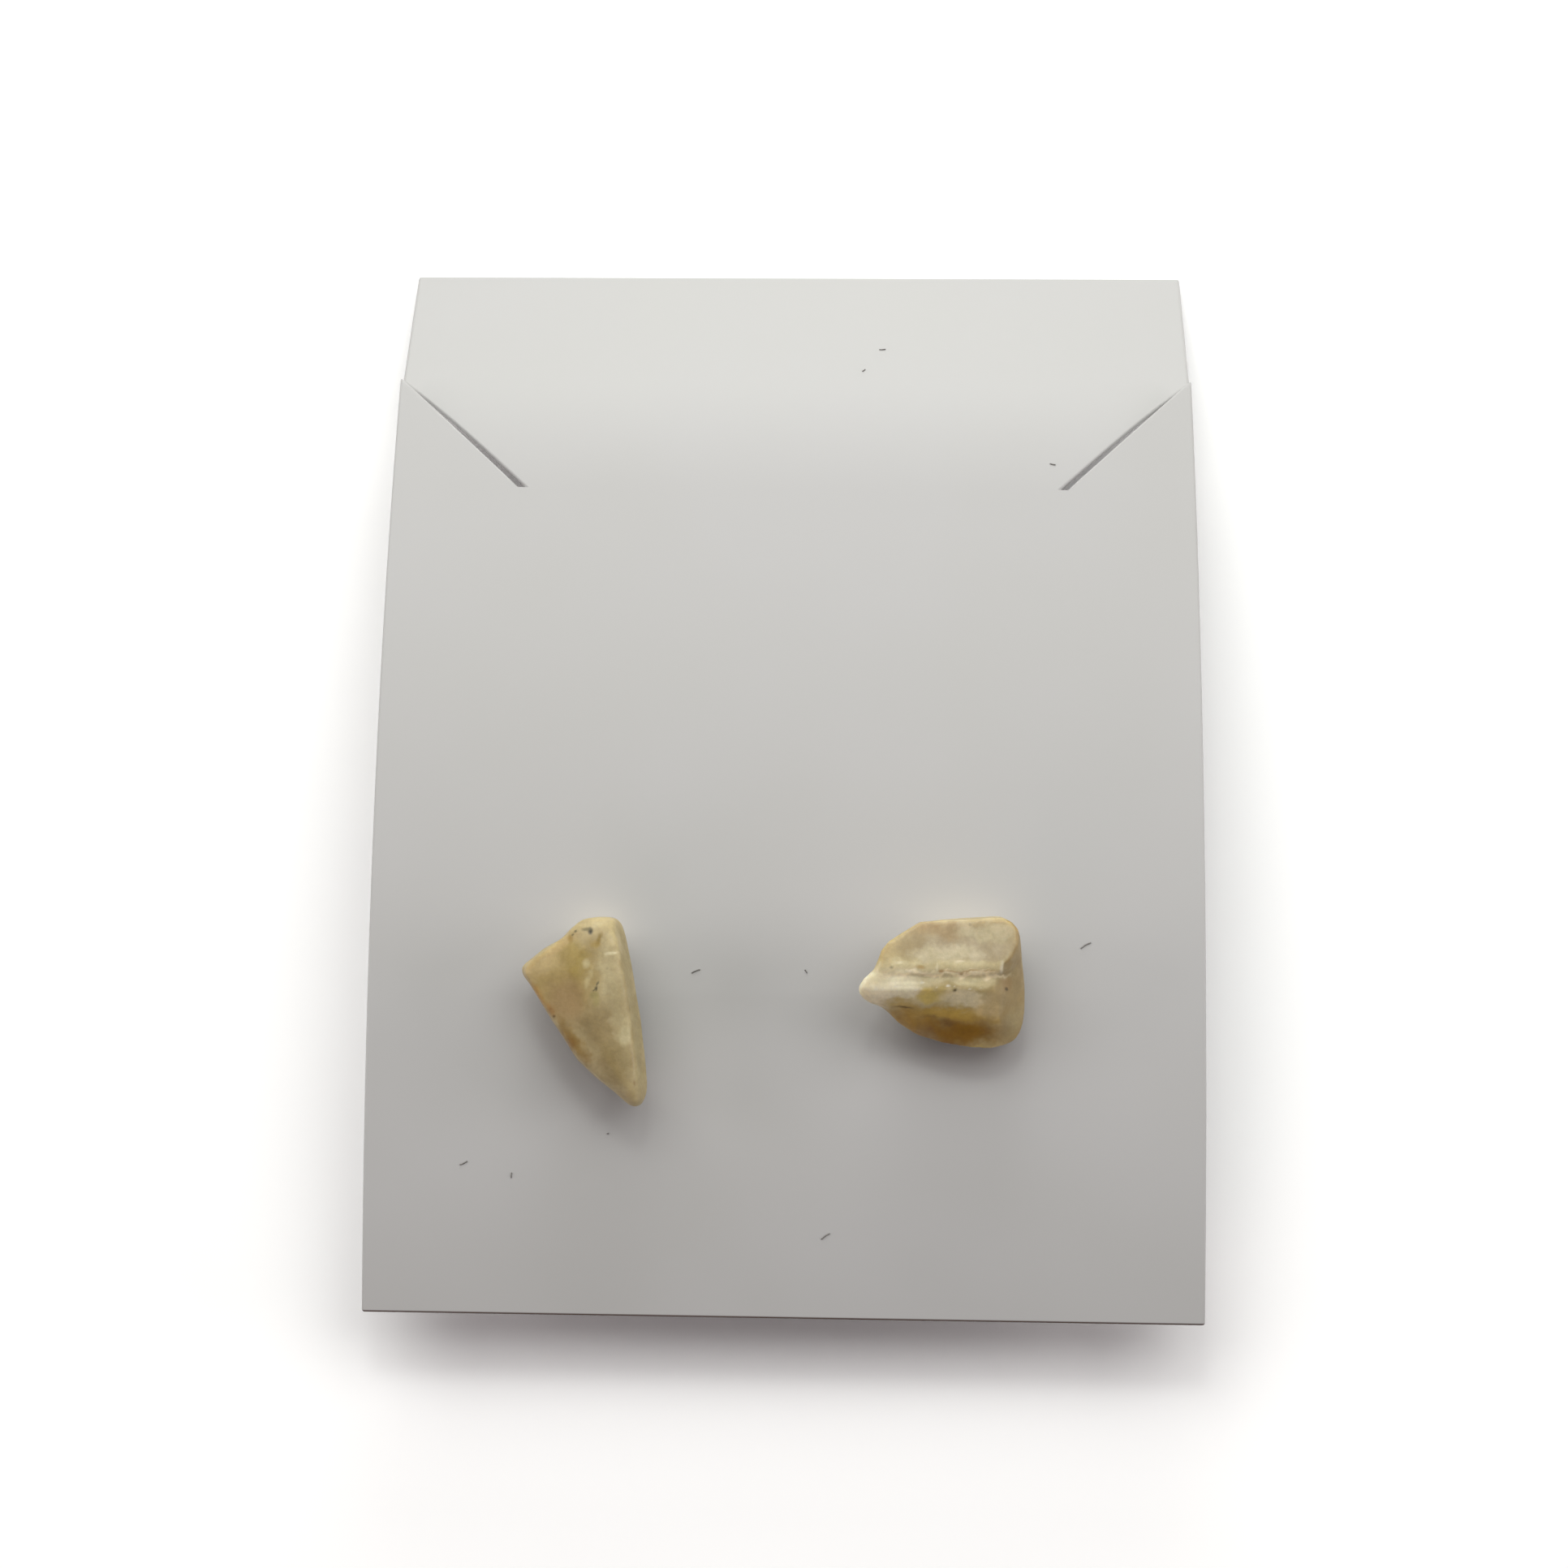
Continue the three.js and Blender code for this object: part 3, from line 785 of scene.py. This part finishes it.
def moonstone(name, cloud_size, milk_white, depth, roughness, gloss):
    """Tumbled feldspar: stained colour, milky clouds inside, fine cleavage grain and a soft polish."""
    material, out = new_material(name)
    tree = material.node_tree
    place = add(tree, "ShaderNodeTexCoord").outputs["Object"]
    stained = add(tree, "ShaderNodeVertexColor", [("layer_name", "stain")])
    milk_at = add(tree, "ShaderNodeAttribute", [("attribute_name", "milk")])
    cloud = add(
        tree,
        "ShaderNodeTexNoise",
        [("Scale", 1 / cloud_size), ("Detail", 6), ("Roughness", 0.6), ("Distortion", 0.4)],
        [("Vector", place)],
    )
    billow = add(
        tree,
        "ShaderNodeMath",
        [("operation", "MULTIPLY_ADD"), (1, CLOUD_SHARE)],
        [(0, cloud.outputs["Fac"]), (2, milk_at.outputs["Fac"])],
    )
    veil = add(
        tree,
        "ShaderNodeMapRange",
        [("From Min", VEIL_FROM), ("From Max", VEIL_FULL), ("To Max", VEIL_MOST)],
        [("Value", billow.outputs["Value"])],
    )
    milky = add(
        tree,
        "ShaderNodeMix",
        [("data_type", "RGBA"), (OVER, linear(milk_white))],
        [(FACTOR, veil.outputs["Result"]), (UNDER, stained.outputs["Color"])],
    )
    grain = add(
        tree,
        "ShaderNodeTexNoise",
        [("Scale", 1 / GRAIN), ("Detail", 4), ("Roughness", 0.65)],
        [("Vector", place)],
    )
    wisp = add(
        tree,
        "ShaderNodeTexNoise",
        [("Scale", 1 / WISP), ("Detail", 6), ("Roughness", 0.62), ("Distortion", 0.15)],
        [("Vector", place)],
    )
    streak = add(
        tree,
        "ShaderNodeValToRGB",
        [("stops", [(at, linear(shade)) for at, shade in WISP_SHADES])],
        [("Fac", wisp.outputs["Fac"])],
    )
    streaked = add(
        tree,
        "ShaderNodeMix",
        [("data_type", "RGBA"), ("blend_type", "MULTIPLY"), (FACTOR, 1.0)],
        [(UNDER, milky.outputs[MIXED]), (OVER, streak.outputs["Color"])],
    )
    fleck = add(
        tree,
        "ShaderNodeValToRGB",
        [("stops", [(at, linear(shade)) for at, shade in GRAIN_SHADES])],
        [("Fac", grain.outputs["Fac"])],
    )
    flecked = add(
        tree,
        "ShaderNodeMix",
        [("data_type", "RGBA"), ("blend_type", "MULTIPLY"), (FACTOR, GRAIN_SHARE)],
        [(UNDER, streaked.outputs[MIXED]), (OVER, fleck.outputs["Color"])],
    )
    clear = add(
        tree,
        "ShaderNodeMath",
        [("operation", "MULTIPLY"), (1, CLEARNESS)],
        [(0, stained.outputs["Alpha"])],
    )
    polish = add(
        tree,
        "ShaderNodeMapRange",
        [
            ("From Min", 0.3),
            ("From Max", 0.7),
            ("To Min", roughness - POLISH_LESS),
            ("To Max", roughness + POLISH_MORE),
        ],
        [("Value", cloud.outputs["Fac"])],
    )
    pits = add(
        tree,
        "ShaderNodeBump",
        [("Strength", 0.3), ("Distance", PIT_DEPTH)],
        [("Height", grain.outputs["Fac"])],
    )
    paint = add(
        tree,
        "ShaderNodeBsdfPrincipled",
        [
            ("IOR", 1.52),
            ("Specular IOR Level", 0.35),
            ("Subsurface Radius", LIGHT_REACH),
            ("Subsurface Scale", depth),
            ("Coat Weight", gloss),
            ("Coat Roughness", 0.12),
        ],
        [
            ("Base Color", flecked.outputs[MIXED]),
            ("Subsurface Weight", clear.outputs["Value"]),
            ("Roughness", polish.outputs["Result"]),
            ("Normal", pits.outputs["Normal"]),
        ],
    )
    tree.links.new(paint.outputs["BSDF"], out.inputs["Surface"])
    return material


# Cream moonstone, tumbled: silky with milky clouds, so that light sinks in about a millimetre and softens
# its edges
cream_moonstone = moonstone(
    "cream moonstone, tumbled", CREAM_CLOUD, CREAM_MILK, CREAM_DEPTH, CREAM_ROUGHNESS, CREAM_GLOSS
)
finish_piece(slab, cream_moonstone, "cream_moonstone", "left_stone")

# Right stone
# A block of honey moonstone, cleaved flat on top. The cleavage leaves a thin ledge and below it a glassy
# ridge that runs out to the left in a lobe. The rest was tumbled like its partner.
BLOCK_PASSES = 10
BLOCK_ROUNDS = 1
BLOCK_WEAR = 0.025
BLOCK_WEAR_SIZE = 1.3
BLOCK_WEAR_DRAW = (5, 2, 9)
# The lobe's blunt end, in mm: how much fuller it is, how far across from the seat, and over what length
LOBE_FULLNESS = 0.06
LOBE_ACROSS = -5.9
LOBE_LENGTH = 0.7
HONEY = "#bdab7c"
HONEY_CLOUD = 1.1 * MM
HONEY_MILK = "#d8ccae"
HONEY_DEPTH = 1.2 * MM
HONEY_ROUGHNESS = 0.42
HONEY_GLOSS = 0.08
BLOCK_FACES = [
    # (across, up, height, half width, half length, turn, colour, strength), mm from its seat on the card
    (-0.6, 2.6, 5.8, 3.6, 1.6, 0, "#ae9f80", 1.0),
    (-2.0, 3.4, 5.7, 1.5, 0.5, 0, "#a89168", 0.85),
    (-3.7, 2.5, 5.7, 1.0, 0.55, 30, "#a9976f", 0.8),
    (0.9, 3.3, 5.8, 1.6, 0.5, 0, "#b9ad86", 0.8),
    (-1.7, 2.05, 5.9, 2.0, 0.38, 3, "#c6bb98", 0.9),
    # The next two rows, on the strips under the plate, are lighter than the stone's own cream: partly its
    # milky colour, partly painted light that cancels the shade on these faces sloping to the front
    (-1.5, 1.35, 5.7, 4.2, 0.36, 0, "#d6caa2", 1.0),
    (-0.4, 0.6, 5.4, 2.4, 0.34, 0, "#e2d6ac", 0.95),
    # The lobe's row is lighter than the stone's own colour: partly its milky white, partly painted light
    # that cancels the shade on its downward faces
    (-5.3, 0.1, 5.1, 2.7, 1.1, 0, "#f4ecce", 1.0),
    (-4.2, -0.8, 4.8, 1.0, 0.4, -8, "#c4aa66", 0.9),
    # This row and the one at up -0.9 lie on the band under the ridge, and are painted lighter than the
    # stone's own colour: partly painted light, for light that passes through the stone to this downward
    # face
    (-2.35, -0.35, 5.0, 1.1, 0.36, 5, "#d2ba62", 0.95),
    (-0.3, -0.45, 4.9, 1.5, 0.44, 0, "#e6d9b2", 0.95),
    (-1.0, -1.3, 4.0, 3.8, 0.42, -3, "#ba9a4a", 1.0),
    (0.9, -0.9, 4.2, 0.9, 0.6, 0, "#e6cc90", 0.95),
    (-3.6, -1.7, 3.5, 1.6, 0.55, -12, "#b08a34", 1.0),
    (-0.9, -2.3, 3.2, 2.8, 0.8, 0, "#8c640f", 1.0),
    (0.2, -3.3, 2.0, 2.2, 0.2, 0, "#cab368", 0.8),
]
# Its right side is painted a darker tan, partly the stone's own tan and partly painted shade on the side
# that faces +X. The tan starts where the skin's normal has the given turn of its length along +X, and is
# full the given fade further on
SIDE_TAN_AND_SHADE = "#9a8456"
SIDE_SHARE = 0.85
SIDE_TURN = 0.28
SIDE_FADE = 0.2
BLOCK_MARKS = [
    # (across, up, height, half width, half length, turn, colour, strength), mm from its seat on the card
    (1.2, -0.6, 4.6, 0.6, 1.3, 0, "#b8a47a", 0.8),
    (2.4, -1.6, 2.8, 0.7, 0.9, 0, "#aa9a70", 0.7),
    (1.95, 0.45, 4.6, 0.5, 0.4, -40, "#a98a58", 0.6),
    (-3.1, 1.28, 5.7, 0.3, 0.12, 0, "#b79557", 0.7),
    # The next two pale rows lie over the ledge's drop: painted light that cancels the shade on this
    # front-facing step
    (-3.4, 0.9, 5.4, 2.2, 0.15, 0, "#fbf1d0", 0.95),
    (-0.2, 0.92, 5.5, 2.0, 0.16, 0, "#fff3cf", 1.0),
    (-1.85, 1.05, 5.5, 0.2, 0.1, 0, "#94691f", 0.85),
    (-1.25, 1.03, 5.5, 0.45, 0.06, 0, "#a98448", 0.8),
    (-0.2, 1.04, 5.5, 0.7, 0.06, 3, "#ab864a", 0.8),
    (0.9, 1.06, 5.4, 0.5, 0.05, 3, "#b18c52", 0.7),
    (1.6, 1.35, 5.6, 0.1, 0.3, 0, "#efe8d0", 0.8),
    (-2.1, 1.28, 5.7, 0.08, 0.22, 0, "#efe6c8", 0.8),
    (-0.8, 1.62, 5.9, 0.3, 0.06, 0, "#ece2c4", 0.7),
    (-4.3, 1.5, 5.7, 0.25, 0.06, 0, "#ece3c6", 0.6),
    (-4.75, 1.25, 5.6, 0.11, 0.08, 0, "#8b8468", 0.8),
    (-1.05, 0.0, 5.25, 0.14, 0.09, 30, "#54482c", 0.9),
    (1.95, 0.15, 4.6, 0.13, 0.1, -30, "#43300f", 0.9),
    (-4.0, -1.03, 4.3, 0.6, 0.07, -6, "#5f4412", 0.8),
    (-2.5, -1.5, 4.0, 0.55, 0.13, -6, "#7c5a1c", 0.5),
    (-1.4, -1.75, 3.7, 0.55, 0.22, -4, "#6e4a08", 0.5),
    (-0.2, 3.8, 5.7, 0.1, 0.05, 0, "#8b8061", 0.8),
    (-2.5, 2.22, 5.8, 0.15, 0.07, 0, "#ab9b73", 0.7),
]
BLOCK_MILK = [
    # (across, up, height, half width, half length, turn, strength), mm from its seat on the card
    (-1.6, 2.1, 5.8, 2.6, 0.7, 0, 0.45),
    (0.6, 3.4, 5.7, 1.8, 0.6, 0, 0.45),
    (0.6, 1.3, 5.7, 1.6, 0.4, 0, 0.3),
    (-5.2, 0.1, 5.2, 2.3, 1.0, 0, 0.45),
    (-0.3, -0.3, 5.0, 1.6, 0.6, 0, 0.4),
]
# Fine cleavage steps run along the ridge, as the edges of the crystal's layers. In mm: their spacing and
# depth, how far they waver, and the ridge's middle and half width, up and across. They fade where the skin
# turns away from +Z, and STEP_FACING says how late
STEP_SPACING = 0.3
STEP_DEPTH = 0.03
STEP_WAVER = 0.05
STEP_WAVES_PER_MM = 2.1
STEP_FACING = 1.5
RIDGE_UP = 0.4
RIDGE_WIDTH = 0.5
RIDGE_ACROSS = -2.0
RIDGE_REACH = 3.6
# Painted highlights: small white spots along the ridge, where its rounded crest catches the lamps
GLINT_HEIGHT = 5.45
GLINT_WHITE = "#f1ecda"
GLINT_STRENGTH = 0.9
RIDGE_GLINTS = [
    # (across, up, half width), mm from its seat on the card
    (-5.6, 0.0, 0.14),
    (-5.25, 0.02, 0.07),
    (-4.45, 0.16, 0.12),
    (-4.41, -0.07, 0.07),
    (-3.9, 0.07, 0.05),
    (-3.35, -0.02, 0.1),
    (-2.95, 0.41, 0.12),
    (-2.1, 0.17, 0.06),
    (-1.45, 0.22, 0.13),
    (-1.1, 0.2, 0.06),
    (-0.2, 0.1, 0.08),
    (0.4, 0.14, 0.05),
]

block = stone_mesh("right_stone", "right_chip", BLOCK_PASSES, BLOCK_ROUNDS)
places, normals = stone_places(block, SEATS["right"])
lift = worn(places, BLOCK_WEAR, BLOCK_WEAR_SIZE, BLOCK_WEAR_DRAW)
lift += LOBE_FULLNESS * np.exp(-(((places[:, 0] - LOBE_ACROSS) / LOBE_LENGTH) ** 2))
upward = np.clip(normals[:, 2] * STEP_FACING, 0, 1)
waver = STEP_WAVER * np.sin(places[:, 0] * STEP_WAVES_PER_MM)
steps = np.abs(((places[:, 1] + waver) / STEP_SPACING) % 1 - 0.5) - 0.25
ridge = np.exp(-(((places[:, 1] - RIDGE_UP) / RIDGE_WIDTH) ** 4))
ridge *= np.exp(-(((places[:, 0] - RIDGE_ACROSS) / RIDGE_REACH) ** 6))
lift += steps * STEP_DEPTH * ridge * upward
places = places + normals * lift[:, None]
move_skin(block, SEATS["right"], places)
# White spots of painted highlight along the ridge's crest
ridge_glints = [(x, y, GLINT_HEIGHT, wide, wide / 2, 0, GLINT_WHITE, GLINT_STRENGTH) for x, y, wide in RIDGE_GLINTS]
honey = np.tile(np.array(linear(HONEY)), (len(places), 1))
honey = spotted(honey, places, BLOCK_FACES)
# The side facing +X gets the darker tan: partly its own colour, partly painted shade
side_tan_and_shade = np.clip((normals[:, :1] - SIDE_TURN) / SIDE_FADE, 0, 1) * SIDE_SHARE
honey += side_tan_and_shade * (np.array(linear(SIDE_TAN_AND_SHADE)) - honey)
stain(block, places, spotted(honey, places, BLOCK_MARKS + ridge_glints), BLOCK_MILK)

# Honey moonstone, cleaved and tumbled: glassier than its partner, with patches of milk under the plate
honey_moonstone = moonstone(
    "honey moonstone, cleaved and tumbled",
    HONEY_CLOUD,
    HONEY_MILK,
    HONEY_DEPTH,
    HONEY_ROUGHNESS,
    HONEY_GLOSS,
)
finish_piece(block, honey_moonstone, "honey_moonstone", "right_stone")

# Table
# A plain sheet of matt white board that the strip's end and the two pins rest on. It is far wider than the
# photograph's frame, so it shows no edge there.
TABLE_SIZE = 1.6
TABLE_WHITE = "#ffffff"
table_mesh = bpy.data.meshes.new("table")
half = TABLE_SIZE / 2
table_corners = [(-half, -half, 0), (half, -half, 0), (half, half, 0), (-half, half, 0)]
table_mesh.from_pydata(table_corners, [], [(0, 1, 2, 3)])
table = bpy.data.objects.new("table", table_mesh)
bpy.context.scene.collection.objects.link(table)
matt_board, out = new_material("white backing board, matt")
tree = matt_board.node_tree
paint = add(
    tree,
    "ShaderNodeBsdfPrincipled",
    [("Base Color", linear(TABLE_WHITE)), ("Roughness", 0.9), ("Specular IOR Level", 0.1)],
)
tree.links.new(paint.outputs["BSDF"], out.inputs["Surface"])
table_mesh.materials.append(matt_board)

# Light
# Broad soft windows stand high to the left, right and top of the card, and more stand low around it, so the
# card's tone fades towards its lower end and the stones' shadows stay soft. A small high one sharpens the
# shadows, a weak one at the front left is warm, and a faint sky fills in.
WINDOWS = [
    # (across, up, height and width in metres, power in watts, colour)
    (-0.15, 0.1, 0.3, 0.25, 0.28, "#fffffd"),
    (-0.15, 0.25, 0.3, 0.25, 0.36, "#fdfffb"),
    (0.0, 0.25, 0.3, 0.25, 0.18, "#fdfffb"),
    (-0.01, 0.14, 0.3, 0.07, 0.13, "#fdfffc"),
    (0.15, 0.1, 0.3, 0.25, 0.45, "#fffffd"),
    (0.0, 0.3, 0.1, 0.15, 0.41, "#fdfffb"),
    (0.3, 0.0, 0.12, 0.15, 0.31, "#fffafa"),
    (-0.3, 0.0, 0.12, 0.15, 0.22, "#fffafa"),
    (-0.15, -0.25, 0.15, 0.2, 0.1, "#ffe2e6"),
]
WINDOWS_AIM = (0, 0, 5 * MM)
SKY = 0.08
SKY_TINT = "#f4f1f3"
# Warm light that the pale stones throw back on the card just beyond them, each from a thin strip of lamp
GLOWS = [
    # (name, across, up and width in mm, power in watts)
    ("left stone's glow", -11.2, -10.9, 2.6, 1.1e-5),
    ("right stone's glow", 10.6, -10.5, 5.0, 1.3e-5),
]
GLOW_HEIGHT = 11.4 * MM
GLOW_AIM = 9 * MM
GLOW_BREADTH = 0.6 * MM
GLOW_TINT = "#fff0d0"


def lamp(name, at, towards, size, power, colour):
    data = bpy.data.lights.new(name, "AREA")
    data.shape = "DISK"
    data.size = size
    data.energy = power
    data.color = linear(colour)[:3]
    light = bpy.data.objects.new(name, data)
    light.location = at
    light.rotation_euler = (Vector(towards) - Vector(at)).to_track_quat("-Z", "Y").to_euler()
    light.visible_camera = False
    bpy.context.scene.collection.objects.link(light)
    return light


for number, (x, y, z, size, power, colour) in enumerate(WINDOWS):
    lamp(f"window {number + 1}", (x, y, z), WINDOWS_AIM, size, power, colour)
for name, across, up, width, power in GLOWS:
    above, below = (across * MM, up * MM, GLOW_HEIGHT), (across * MM, up * MM, GLOW_AIM)
    glow = lamp(name, above, below, width * MM, power, GLOW_TINT)
    glow.data.shape = "RECTANGLE"
    glow.data.size_y = GLOW_BREADTH
world = bpy.data.worlds.new("studio")
world.use_nodes = True
sky = world.node_tree.nodes["Background"]
sky.inputs["Color"].default_value = linear(SKY_TINT)
sky.inputs["Strength"].default_value = SKY
bpy.context.scene.world = world
bpy.context.scene.view_settings.view_transform = "Standard"

# Camera
# Held above the card and a little towards its lower end, as in the photograph, with a square frame. Its
# place, its turn in degrees and its focal length were fitted to the card's photographed edges.
PHOTO_PIXELS = 1932
FOCAL_PIXELS = 3862.44
SHIFT_PIXELS = 76
SENSOR_MM = 36
CAMERA_PLACE = (3.566 * MM, -44.457 * MM, 194.021 * MM)
CAMERA_TURN = (12.889, 2.088, 1.0476)
camera_data = bpy.data.cameras.new("camera")
camera_data.sensor_width = SENSOR_MM
camera_data.lens = FOCAL_PIXELS * SENSOR_MM / PHOTO_PIXELS
camera_data.shift_x = SHIFT_PIXELS / PHOTO_PIXELS
camera_data.clip_start = 10 * MM
camera = bpy.data.objects.new("camera", camera_data)
turn = Euler([math.radians(angle) for angle in CAMERA_TURN])
camera.matrix_world = Matrix.Translation(CAMERA_PLACE) @ turn.to_matrix().to_4x4()
bpy.context.scene.collection.objects.link(camera)
bpy.context.scene.camera = camera
